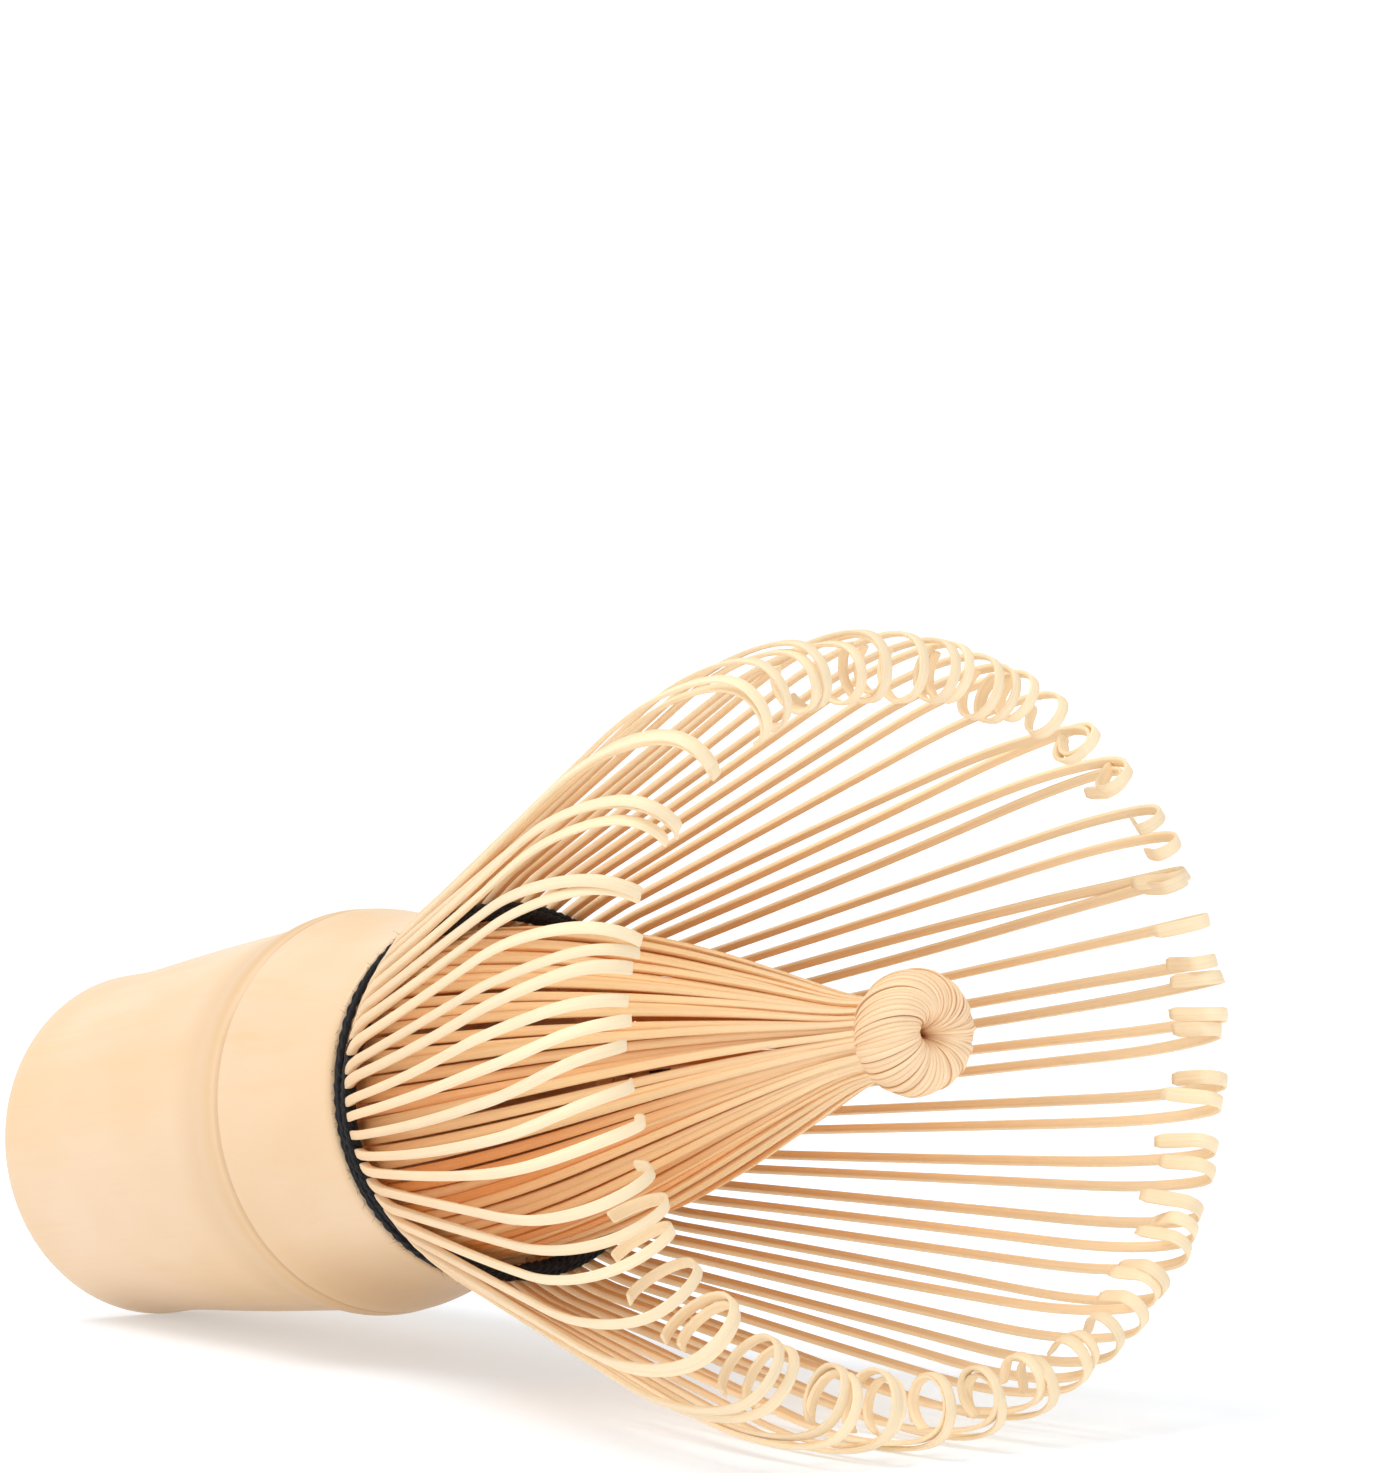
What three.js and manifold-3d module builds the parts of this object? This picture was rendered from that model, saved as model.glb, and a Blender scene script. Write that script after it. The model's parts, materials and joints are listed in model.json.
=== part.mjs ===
// Bamboo tea whisk, lying on its side on a table. Units are millimetres, +Z is up, and the table is z = 0.
//
// A tea whisk is carved from one length of bamboo. The uncut end is the handle. The wall of the other end
// is split into splints, and each splint into fine tines: the outer ones are bent out and curled in at
// their tips, and the inner ones are gathered into a cone and knotted. A black thread holds the two apart.
//
// Every piece is drawn upright in the whisk's own frame: its axis is +Z, the handle's cut end is z = 0,
// and the tines point up. The end of the file lays the whisk down on its base rim and its lowest tines.
import * as THREE from "three";
import { mergeVertices } from "three/addons/utils/BufferGeometryUtils.js";
import Module from "manifold-3d";

// ---- Driving dimensions ----

// Handle.
const BASE_RADIUS = 14.8;
const BASE_CHAMFER = 0.5;
const NODE_RADIUS = 16.75;
const NODE_CREST_Z = 36.2;
const CREASE_Z = 38;
const CREASE_DEPTH = 0.4;
const COLLAR_RADIUS = 14.95;
const HANDLE_TOP = 52.7;
const BORE_RADIUS = 10.6;
const DIAPHRAGM_Z = 34.5;
const DIAPHRAGM_THICKNESS = 3;
const HANDLE_SIDES = 42;

// Splints and tines. Every splint of the culm's end gives one comb of outer and one of inner tines.
const SPLINTS = 15;
const TINES_PER_SPLINT = 5;
const TINE_PITCH = (2 * Math.PI) / (SPLINTS * TINES_PER_SPLINT);
const SPLINT_PITCH = TINE_PITCH * TINES_PER_SPLINT;
const ROOT_Z = 53.2;
const ROOT_HEIGHT = 1.4;
const WEB_INSET = 0.2;
const COMB_HALF_ANGLE = ((TINES_PER_SPLINT - 1) / 2) * TINE_PITCH;

// Outer tines: a kink at the thread, a straight flare, a shoulder, and an inward curl.
const OUTER_WIDTH = 0.96;
const OUTER_ROOT_THICKNESS = 0.9;
const OUTER_TIP_THICKNESS = 0.4;
const OUTER_ROOT_RADIUS = 14.15;
const FLARE_START = new THREE.Vector2(14.55, ROOT_Z + ROOT_HEIGHT);
const FLARE_END = new THREE.Vector2(28.5, 94);
const CURL_START = new THREE.Vector2(29.96, 107);
const SHOULDER_Z = 103;
const CURL_RADIUS = 3.1;
const CURL_ANGLE = THREE.MathUtils.degToRad(205);
const CURL_STEPS = 4;

// Inner tines: a hollow cone that narrows to a neck under the knot.
const INNER_WIDTH = 0.74;
const INNER_ROOT_THICKNESS = 0.8;
const INNER_NECK_THICKNESS = 0.5;
const INNER_CURVE = [
  [12.95, ROOT_Z],
  [11.0, 71.4],
  [6.1, 91.8],
  [3.05, 104.9],
];
const INNER_STEPS = 4;

// Knot of the inner tines: a bulb with a pit in its top.
const KNOT_RADIUS = 4.5;
const KNOT_BOTTOM = 105.2;
const KNOT_HEIGHT = 6;
const KNOT_FOOT_RADIUS = 3.3;
const PIT_DEPTH = 1.1;
const KNOT_SIDES = 20;

// Thread: three turns outside the tines' roots, and a thicker band between the outer and inner tines.
const THREAD_SIDES = 40;
const OUTER_THREAD_SECTION = [
  [14.97, 53.0],
  [15.75, 53.0],
  [15.98, 53.3],
  [15.98, 54.2],
  [15.75, 54.55],
  [15.32, 54.55],
];
const INNER_THREAD_SECTION = [
  [13.75, 55.9],
  [14.3, 55.9],
  [15.35, 58.4],
  [15.0, 58.9],
  [13.75, 58.9],
];

// ---- Materials ----

const bambooSkin = new THREE.MeshStandardMaterial({ color: 0xf3d9ae, roughness: 0.42, metalness: 0 });
const bambooTine = new THREE.MeshStandardMaterial({ color: 0xf0cf9a, roughness: 0.55, metalness: 0 });
const bambooInner = new THREE.MeshStandardMaterial({ color: 0xdfa869, roughness: 0.6, metalness: 0 });
const blackThread = new THREE.MeshStandardMaterial({ color: 0x17171a, roughness: 0.9, metalness: 0 });

// ---- Solids ----

const wasm = await Module();
wasm.setup();

function solidOf(geometry) {
  const bare = geometry.clone();
  bare.deleteAttribute("normal");
  bare.deleteAttribute("uv");
  const merged = mergeVertices(bare);
  return new wasm.Manifold(
    new wasm.Mesh({
      numProp: 3,
      vertProperties: merged.attributes.position.array,
      triVerts: new Uint32Array(merged.index.array),
    }),
  );
}

function geometryOf(solid) {
  const mesh = solid.getMesh();
  const geometry = new THREE.BufferGeometry();
  geometry.setAttribute("position", new THREE.BufferAttribute(mesh.vertProperties, 3));
  geometry.setIndex(new THREE.BufferAttribute(mesh.triVerts, 1));
  geometry.computeVertexNormals();
  return geometry;
}

function joined(geometries) {
  const solids = geometries.map(solidOf);
  return geometryOf(solids.reduce((whole, piece) => whole.add(piece)));
}

// A solid turned about the whisk's axis from an outline of [radius, height] points. A flat facet, not
// a corner, faces +X, which becomes the underside when the whisk lies down.
function turned(outline, sides) {
  const points = outline.map(([radius, height]) => new THREE.Vector2(radius, height));
  const firstCorner = Math.PI / 2 + Math.PI / sides;
  return new THREE.LatheGeometry(points, sides, firstCorner).rotateX(Math.PI / 2);
}

// A flat strip whose long side view follows the stations { at, thickness }, in the plane y = 0.
// Its width runs along y.
function strip(stations, width) {
  const offsets = stations.map(({ at, thickness }, i) => {
    const before = stations[Math.max(i - 1, 0)].at;
    const after = stations[Math.min(i + 1, stations.length - 1)].at;
    const along = after.clone().sub(before).normalize();
    return new THREE.Vector2(along.y, -along.x).multiplyScalar(thickness / 2).add(at);
  });
  const mirrored = stations.map(({ at }, i) => at.clone().multiplyScalar(2).sub(offsets[i]));
  const outline = new THREE.Shape([...offsets, ...mirrored.reverse()]);
  return new THREE.ExtrudeGeometry(outline, { depth: width, bevelEnabled: false })
    .translate(0, 0, -width / 2)
    .rotateX(Math.PI / 2);
}

// Narrows a strip in step with its distance from the axis, so that neighbours never meet.
function narrowedTowardsAxis(geometry, fullWidthRadius) {
  const position = geometry.attributes.position;
  for (let i = 0; i < position.count; i++) {
    position.setY(i, (position.getY(i) * position.getX(i)) / fullWidthRadius);
  }
  return geometry;
}

// A web of the culm's wall that joins the tines of one splint: a bent bar, centred on +X.
function web(radius, thickness, halfAngle, bottom, height) {
  const cornerAt = (r, angle) => new THREE.Vector2(r * Math.cos(angle), r * Math.sin(angle));
  const outerRadius = radius + thickness / 2;
  const innerRadius = radius - thickness / 2;
  const outline = new THREE.Shape([
    cornerAt(outerRadius, -halfAngle),
    cornerAt(outerRadius, 0),
    cornerAt(outerRadius, halfAngle),
    cornerAt(innerRadius, halfAngle),
    cornerAt(innerRadius, 0),
    cornerAt(innerRadius, -halfAngle),
  ]);
  return new THREE.ExtrudeGeometry(outline, { depth: height, bevelEnabled: false }).translate(0, 0, bottom);
}

// One comb: the tines of a splint side by side, joined by webs.
function comb(makeTine, webs) {
  const middle = (TINES_PER_SPLINT - 1) / 2;
  const tines = [];
  for (let i = 0; i < TINES_PER_SPLINT; i++) {
    tines.push(makeTine().rotateZ((i - middle) * TINE_PITCH));
  }
  return joined([...webs, ...tines]);
}

// ---- Pieces ----

// The uncut culm, with its bore closed by the node's diaphragm.
function handleGeometry() {
  const barrel = new THREE.SplineCurve([
    new THREE.Vector2(BASE_RADIUS, BASE_CHAMFER),
    new THREE.Vector2(BASE_RADIUS, 7),
    new THREE.Vector2(15.5, 19),
    new THREE.Vector2(16.0, 30),
    new THREE.Vector2(16.3, 33.5),
    new THREE.Vector2(NODE_RADIUS, NODE_CREST_Z),
  ]);
  const collar = new THREE.SplineCurve([
    new THREE.Vector2(NODE_RADIUS - 0.15, CREASE_Z + 0.7),
    new THREE.Vector2(15.9, 42),
    new THREE.Vector2(15.2, 47),
    new THREE.Vector2(COLLAR_RADIUS, HANDLE_TOP),
  ]);
  const outside = [
    ...collar.getPoints(4).reverse(),
    new THREE.Vector2(NODE_RADIUS - CREASE_DEPTH, CREASE_Z),
    ...barrel.getPoints(7).reverse(),
  ].map((point) => [point.x, point.y]);
  const diaphragmTop = DIAPHRAGM_Z + DIAPHRAGM_THICKNESS;
  const outline = [
    [0, diaphragmTop],
    [BORE_RADIUS - 1.5, diaphragmTop],
    [BORE_RADIUS, diaphragmTop + 1.5],
    [BORE_RADIUS + 0.3, HANDLE_TOP],
    ...outside,
    [BASE_RADIUS - BASE_CHAMFER, 0],
    [BORE_RADIUS, 0],
    [BORE_RADIUS, DIAPHRAGM_Z - 1.5],
    [BORE_RADIUS - 1.5, DIAPHRAGM_Z],
    [0, DIAPHRAGM_Z],
  ];
  return turned(outline.reverse(), HANDLE_SIDES);
}

function outerTineStations() {
  const stations = [
    { at: new THREE.Vector2(OUTER_ROOT_RADIUS, ROOT_Z), thickness: OUTER_ROOT_THICKNESS },
    { at: FLARE_START, thickness: OUTER_ROOT_THICKNESS },
    { at: FLARE_END, thickness: OUTER_TIP_THICKNESS },
    { at: new THREE.Vector2(CURL_START.x - 0.05, SHOULDER_Z), thickness: OUTER_TIP_THICKNESS },
  ];
  for (let i = 0; i <= CURL_STEPS; i++) {
    const angle = (CURL_ANGLE * i) / CURL_STEPS;
    const radius = CURL_START.x - CURL_RADIUS * (1 - Math.cos(angle));
    const height = CURL_START.y + CURL_RADIUS * Math.sin(angle);
    stations.push({ at: new THREE.Vector2(radius, height), thickness: OUTER_TIP_THICKNESS });
  }
  return stations;
}

function outerCombGeometry() {
  const root = web(
    OUTER_ROOT_RADIUS + 0.05,
    OUTER_ROOT_THICKNESS / 2,
    COMB_HALF_ANGLE,
    ROOT_Z + WEB_INSET,
    ROOT_HEIGHT - 2 * WEB_INSET,
  );
  const stations = outerTineStations();
  return comb(() => strip(stations, OUTER_WIDTH), [root]);
}

function innerTineStations() {
  const curve = new THREE.SplineCurve(INNER_CURVE.map(([radius, height]) => new THREE.Vector2(radius, height)));
  return curve.getPoints(INNER_STEPS).map((at, i) => ({
    at,
    thickness: THREE.MathUtils.lerp(INNER_ROOT_THICKNESS, INNER_NECK_THICKNESS, i / INNER_STEPS),
  }));
}

function innerCombGeometry() {
  const [rootRadius] = INNER_CURVE[0];
  const [neckRadius, neckTop] = INNER_CURVE.at(-1);
  const root = web(
    rootRadius,
    INNER_ROOT_THICKNESS / 2,
    COMB_HALF_ANGLE,
    ROOT_Z + WEB_INSET,
    ROOT_HEIGHT - 2 * WEB_INSET,
  );
  const neck = web(
    neckRadius + 0.1,
    INNER_NECK_THICKNESS / 2,
    COMB_HALF_ANGLE,
    neckTop - WEB_INSET - ROOT_HEIGHT / 2,
    ROOT_HEIGHT / 2,
  );
  const stations = innerTineStations();
  const makeTine = () => narrowedTowardsAxis(strip(stations, INNER_WIDTH), rootRadius);
  return comb(makeTine, [root, neck]);
}

function knotGeometry() {
  const middle = KNOT_BOTTOM + KNOT_HEIGHT / 2;
  const shoulder = new THREE.SplineCurve([
    new THREE.Vector2(KNOT_FOOT_RADIUS, KNOT_BOTTOM),
    new THREE.Vector2(KNOT_RADIUS * 0.94, middle - KNOT_HEIGHT * 0.22),
    new THREE.Vector2(KNOT_RADIUS, middle),
    new THREE.Vector2(KNOT_RADIUS * 0.88, middle + KNOT_HEIGHT * 0.3),
    new THREE.Vector2(KNOT_RADIUS * 0.45, KNOT_BOTTOM + KNOT_HEIGHT),
    new THREE.Vector2(KNOT_RADIUS * 0.12, KNOT_BOTTOM + KNOT_HEIGHT - PIT_DEPTH * 0.8),
  ]);
  const outline = [
    [0, KNOT_BOTTOM],
    ...shoulder.getPoints(9).map((point) => [point.x, point.y]),
    [0, KNOT_BOTTOM + KNOT_HEIGHT - PIT_DEPTH],
  ];
  return turned(outline, KNOT_SIDES);
}

function threadGeometry(section) {
  return turned([...section, section[0]], THREAD_SIDES);
}

// ---- Assembly ----

const whisk = new THREE.Group();

function addPiece(name, geometry, material, turn = 0) {
  const mesh = new THREE.Mesh(geometry, material.clone());
  mesh.name = name;
  mesh.rotation.z = turn;
  whisk.add(mesh);
}

addPiece("handle", handleGeometry(), bambooSkin);

// Outer tines stand half a pitch to either side of the underside, so the whisk rests on two of them.
// Inner tines stand in the gaps between outer ones.
const outerComb = outerCombGeometry();
const innerComb = innerCombGeometry();
for (let i = 0; i < SPLINTS; i++) {
  const number = String(i + 1).padStart(2, "0");
  addPiece(`outer_tines_${number}`, outerComb, bambooTine, (i + 0.5) * SPLINT_PITCH);
  addPiece(`inner_tines_${number}`, innerComb, bambooInner, i * SPLINT_PITCH);
}

addPiece("inner_tine_knot", knotGeometry(), bambooInner);
addPiece("outer_thread", threadGeometry(OUTER_THREAD_SECTION), blackThread);
addPiece("inner_thread", threadGeometry(INNER_THREAD_SECTION), blackThread);

// The whisk tips over until the line from its base rim touches the widest part of the tines.
function restingTilt() {
  const rimReach = BASE_RADIUS * Math.cos(Math.PI / HANDLE_SIDES);
  const slopes = outerTineStations().map(({ at, thickness }) => {
    const reach = (at.x + thickness / 2) * Math.cos(TINE_PITCH / 2);
    return (reach - rimReach) / (at.y - BASE_CHAMFER);
  });
  return Math.atan(Math.max(...slopes));
}

whisk.rotation.y = Math.PI / 2 - restingTilt();
const box = new THREE.Box3().setFromObject(whisk, true);
const middle = box.getCenter(new THREE.Vector3());
whisk.position.set(-middle.x, -middle.y, -box.min.z);

const part = new THREE.Group();
part.add(whisk);

export default part;
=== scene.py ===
import json
import math
import random

import bpy
import numpy as np
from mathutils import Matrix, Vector


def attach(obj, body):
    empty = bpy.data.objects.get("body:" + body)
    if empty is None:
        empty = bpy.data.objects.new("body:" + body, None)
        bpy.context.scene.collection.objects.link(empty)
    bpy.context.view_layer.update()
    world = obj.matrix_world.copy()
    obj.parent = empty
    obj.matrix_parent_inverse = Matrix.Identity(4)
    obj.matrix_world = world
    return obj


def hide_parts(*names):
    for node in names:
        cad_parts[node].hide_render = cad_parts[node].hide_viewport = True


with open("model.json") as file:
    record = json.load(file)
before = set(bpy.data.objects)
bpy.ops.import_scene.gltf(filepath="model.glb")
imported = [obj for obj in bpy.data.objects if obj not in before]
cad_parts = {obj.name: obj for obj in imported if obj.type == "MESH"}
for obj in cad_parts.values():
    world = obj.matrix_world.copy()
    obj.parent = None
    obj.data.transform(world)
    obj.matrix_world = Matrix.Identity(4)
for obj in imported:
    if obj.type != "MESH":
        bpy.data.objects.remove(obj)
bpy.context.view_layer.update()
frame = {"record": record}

# ---- The whisk's own frame ----
# Every piece is drawn upright in millimetres: the handle's cut end is z = 0, the tines point up, and +X is
# the side that the whisk lies on. to_row() then lays it where the CAD model lies, by the handle's end face.
END_FACE = frame["record"]["mounts"][0]
AXIS = -np.array(END_FACE["axis"])
BASE = np.array([END_FACE["pos_m"][0], 0.0, END_FACE["pos_m"][2]])
LOCAL_AXES = np.array([[AXIS[2], 0.0, -AXIS[0]], [0.0, 1.0, 0.0], AXIS])
MM = 0.001
UPWARD = np.array([0.0, 0.0, 1.0])

# Handle, in millimetres, as [radius, height] points.
BORE_RADIUS = 10.6
DIAPHRAGM_BOTTOM = 34.5
DIAPHRAGM_TOP = 37.5
HANDLE_TOP = 52.7
CREASE_Z = 38.0
BARREL = [(14.8, 0.6), (14.8, 7), (15.5, 19), (16.0, 30), (16.3, 33.5), (16.75, 36.2), (16.62, 37.7)]
COLLAR = [(16.6, 38.35), (16.4, 39.6), (15.9, 42), (15.2, 47), (14.95, HANDLE_TOP)]
HANDLE_SIDES = 192

# Tines, in millimetres. An outer tine bends inwards over BEND_LENGTH, by about BEND_TURN radians, and then
# curls up. OUTER_ROOT and INNER_CURVE are [radius, height] points.
SPLINTS = 15
TINES_PER_SPLINT = 5
TINES = SPLINTS * TINES_PER_SPLINT
PITCH = 2 * math.pi / TINES
ROOT_Z = 53.0
OUTER_ROOT = [(14.0, ROOT_Z), (14.12, 54.0), (14.95, 55.6), (16.05, 57.7), (17.2, 60.4)]
CREST_Z = 110.3
REACH = 30.05
CURL_RADIUS = 2.45
BEND_LENGTH = 18.5
BEND_TURN = 0.43
TIP_ROUNDING = [1.0, 0.93, 0.62]
# How far a curl turns, and how much less where it is pressed flat and on the side of the open hooks, in
# degrees.
CURL_TURN = 335
PRESSED_TURN = 145
OPEN_HOOK_TURN = 200
# How far tips differ by themselves, how much shorter and tighter each strip is than the one that it lies
# under in a bunch, in millimetres, and how far a tine leans by itself and on the worn side, in degrees.
TIP_SCATTER = 0.25
TIP_STEP = 0.35
CURL_STEP = 0.25
MOST_LEAN = 1.9
WORN_LEAN = 6.8
# The first two waves of the tines' spacing, which is widest on the worn side.
WORN_GAPS = (0.0375, 0.01625)
INNER_CURVE = [
    (12.95, ROOT_Z), (12.4, 61), (11.0, 71.4), (8.7, 81.6), (5.9, 91.8), (3.4, 100.5), (2.65, 105.8),
]
KNOT_Z = 108.2

# The whisk isn't the same all round. Each side is its middle and its spread, in degrees round the axis from
# the underside (90 is the far side and 180 the top), and, where its flanks are steep, their power.
WORN_SIDE = (287, 32)
OPEN_HOOK_SIDE = (249, 50, 6)
PRESSED_SIDE = (78, 62, 4)
LARGE_CURL_SIDE = (322, 28)
SMALL_CURL_SIDE = (130, 32)
CROWDED_SIDES = ((212, 38), (335, 42))
SPLAYED_SIDE = (320, 26)
RESTING_SIDE = (0, 60)
# The inner bundle's side that gets painted shade.
SHADED_SIDE = (318, 55)
SLACK_SIDE = (287, 55)

# Seeds of the pieces' own small differences.
OUTER_SEED = 11
INNER_SEED = 23
KNOT_SEED = 5
THREAD_SEED = 31
# The first strip's number in each kind of piece, so that no two strips have the same grain.
FIRST_OUTER_STRIP = 1.0
FIRST_INNER_STRIP = 101.0
FIRST_KNOT_STRIP = 301.0


def to_row(points):
    """From millimetres in the whisk's own frame to metres in the CAD model's."""
    return BASE + (np.asarray(points, float) @ LOCAL_AXES) * MM


def smooth_curve(points, count):
    """count points on a Catmull-Rom curve through the given ones."""
    p = np.array(points, float)
    p = np.vstack([2 * p[0] - p[1], p, 2 * p[-1] - p[-2]])
    spans = len(p) - 3
    at = np.linspace(0, spans, count)
    k = np.minimum(at.astype(int), spans - 1)
    t = (at - k)[:, None]
    a, b, c, d = p[k], p[k + 1], p[k + 2], p[k + 3]
    return 0.5 * (2 * b + (c - a) * t + (2 * a - 5 * b + 4 * c - d) * t**2 + (3 * b - a - 3 * c + d) * t**3)


def polar(radius, angle, height):
    """Points from radius, angle about the whisk's axis, and height."""
    radius, angle, height = np.broadcast_arrays(radius, angle, height)
    return np.stack([radius * np.cos(angle), radius * np.sin(angle), height], axis=-1)


def unit(vectors):
    return vectors / np.linalg.norm(vectors, axis=-1, keepdims=True)


def beside(angle, middle, spread, power=2):
    """1 in the middle of a side, falling to 0 round the whisk. middle and spread are in degrees."""
    apart = np.remainder(angle - math.radians(middle) + math.pi, 2 * math.pi) - math.pi
    return np.exp(-((apart / math.radians(spread)) ** power))


def smooth_step(x, low, high):
    t = np.clip((x - low) / (high - low), 0, 1)
    return t * t * (3 - 2 * t)


def rolled(side, out, roll):
    """A strip's side and out directions, turned by roll about its own line."""
    cos, sin = np.cos(roll)[:, None], np.sin(roll)[:, None]
    return side * cos + out * sin, out * cos - side * sin


# ---- Meshes ----


class Surface:
    """Collects closed tubes into one mesh, with the values that the materials read at each point. grain is
    its place in the wood, in millimetres, and tone is how far along a strip, across it and out it lies."""

    def __init__(self):
        self.points = []
        self.faces = []
        self.slots = []
        self.values = {"grain": [], "tone": []}
        self.count = 0

    def add(self, rings, grain, tone, slot_of=None):
        """rings is stations x corners x 3. grain and tone are the same shape, or one value for all points.
        slot_of gives each band's material."""
        stations, corners = rings.shape[:2]
        first = self.count
        self.points.append(rings.reshape(-1, 3))
        self.values["grain"].append(np.broadcast_to(grain, rings.shape).reshape(-1, 3))
        self.values["tone"].append(np.broadcast_to(tone, rings.shape).reshape(-1, 3))
        self.count += stations * corners
        for i in range(stations - 1):
            low = first + i * corners
            high = low + corners
            for j in range(corners):
                k = (j + 1) % corners
                self.faces.append((low + j, low + k, high + k, high + j))
                self.slots.append(slot_of(i) if slot_of else 0)
        start = tuple(range(first + corners - 1, first - 1, -1))
        end = tuple(range(self.count - corners, self.count))
        self.faces += [start, end]
        self.slots += [slot_of(0), slot_of(stations - 2)] if slot_of else [0, 0]

    def piece(self, name, materials, nodes):
        mesh = bpy.data.meshes.new(name)
        mesh.from_pydata(to_row(np.concatenate(self.points)).tolist(), [], self.faces)
        for key, parts in self.values.items():
            layer = mesh.attributes.new(key, "FLOAT_VECTOR", "POINT")
            layer.data.foreach_set("vector", np.concatenate(parts).astype(np.float32).ravel())
        mesh.polygons.foreach_set("material_index", self.slots)
        mesh.polygons.foreach_set("use_smooth", [True] * len(self.faces))
        for material in materials:
            mesh.materials.append(material)
        mesh.update()
        thing = bpy.data.objects.new(name, mesh)
        bpy.context.scene.collection.objects.link(thing)
        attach(thing, "root")
        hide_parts(*nodes)


# A split strip of culm in section, as [across, out]: a crowned outer face and softened edges. The inner
# face is narrower each side by SIDE_TAPER of the thickness, and at most MOST_SHAVED of the width, because a
# tine's inner edges are shaved.
STRIP_SECTION = np.array([
    (0.82, 1.0), (0.0, 1.08), (-0.82, 1.0), (-1.0, 0.62), (-1.0, -0.6),
    (-0.8, -1.0), (0.0, -0.9), (0.8, -1.0), (1.0, -0.6), (1.0, 0.62),
])
SIDE_TAPER = 0.45
MOST_SHAVED = 0.2


def add_strip(surface, centre, side, out, width, thickness, along, position, identity, painted_depth_shade=0.0):
    """A strip along centre, with its width along side and its outer face towards out. painted_depth_shade is
    painted
    shade: it turns a strip towards its material's warm deep colour where it lies under others or in shade."""
    n = len(centre)
    width = np.broadcast_to(width, n)[:, None]
    thickness = np.broadcast_to(thickness, n)[:, None]
    painted_depth_shade = np.broadcast_to(painted_depth_shade, n)[:, None]
    depth = (1 - STRIP_SECTION[None, :, 1]) / 2
    shaved = np.minimum(SIDE_TAPER * thickness, MOST_SHAVED * width)
    across = STRIP_SECTION[None, :, 0] * (width / 2 - shaved * depth)
    away = STRIP_SECTION[None, :, 1] * thickness / 2
    rings = centre[:, None] + across[..., None] * side[:, None] + away[..., None] * out[:, None]
    shape = rings.shape[:2]
    grain = np.stack([np.broadcast_to(along[:, None], shape), across, np.full(shape, identity)], -1)
    tone = np.stack([
        np.broadcast_to(position[:, None], shape),
        np.broadcast_to(STRIP_SECTION[None, :, 0], shape),
        STRIP_SECTION[None, :, 1] - painted_depth_shade,
    ], -1)
    surface.add(rings, grain, tone)


def arc_length(centre):
    steps = np.linalg.norm(np.diff(centre, axis=0), axis=1)
    return np.concatenate([[0], np.cumsum(steps)])


# ---- Materials ----


class Nodes:
    """A material's node tree, written as calls."""

    def __init__(self, name):
        self.material = bpy.data.materials.new(name)
        self.material.use_nodes = True
        self.tree = self.material.node_tree
        self.shader = self.tree.nodes["Principled BSDF"]

    def add(self, kind, settings=None, **inputs):
        node = self.tree.nodes.new(kind)
        for key, value in (settings or {}).items():
            setattr(node, key, value)
        for key, value in inputs.items():
            self.feed(node, key, value)
        return node

    def feed(self, node, key, value):
        socket = node.inputs[int(key[1:])] if key[0] == "i" and key[1:].isdigit() else node.inputs[key]
        if isinstance(value, bpy.types.NodeSocket):
            self.tree.links.new(value, socket)
        else:
            socket.default_value = value

    def math(self, operation, a, b=0.0):
        return self.add("ShaderNodeMath", {"operation": operation}, i0=a, i1=b).outputs[0]

    def plus(self, a, b):
        return self.math("ADD", a, b)

    def minus(self, a, b):
        return self.math("SUBTRACT", a, b)

    def times(self, a, b):
        return self.math("MULTIPLY", a, b)

    def blend(self, amount, a, b):
        node = self.add("ShaderNodeMix", {"data_type": "RGBA"})
        self.feed(node, "i0", amount)
        self.feed(node, "i6", a)
        self.feed(node, "i7", b)
        return node.outputs[2]

    def ramp(self, factor, low, high):
        """0 below low, 1 above high, smooth between."""
        smooth = {"interpolation_type": "SMOOTHSTEP"}
        return self.add("ShaderNodeMapRange", smooth, i0=factor, i1=low, i2=high).outputs[0]

    def attribute(self, name):
        vector = self.add("ShaderNodeAttribute", {"attribute_name": name}).outputs["Vector"]
        return vector, self.add("ShaderNodeSeparateXYZ", None, i0=vector).outputs

    def stretched(self, vector, scale):
        return self.add("ShaderNodeVectorMath", {"operation": "MULTIPLY"}, i0=vector, i1=scale).outputs[0]

    def noise(self, vector, scale=1.0, detail=3.0, rough=0.55):
        settings = {"Vector": vector, "Scale": scale, "Detail": detail, "Roughness": rough}
        return self.add("ShaderNodeTexNoise", None, **settings).outputs["Fac"]

    def bump(self, height, strength, distance):
        node = self.add("ShaderNodeBump", None, Height=height, Strength=strength, Distance=distance)
        self.feed(self.shader, "Normal", node.outputs[0])

    def finish(self, colour, roughness, **others):
        self.feed(self.shader, "Base Color", colour)
        self.feed(self.shader, "Roughness", roughness)
        for key, value in others.items():
            self.feed(self.shader, key.replace("_", " "), value)
        return self.material


def rgb(r, g, b):
    """A colour given as it looks on a screen, 0 to 255."""
    def linear(c):
        c /= 255
        return c / 12.92 if c <= 0.04045 else ((c + 0.055) / 1.055) ** 2.4
    return (linear(r), linear(g), linear(b), 1.0)


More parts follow.
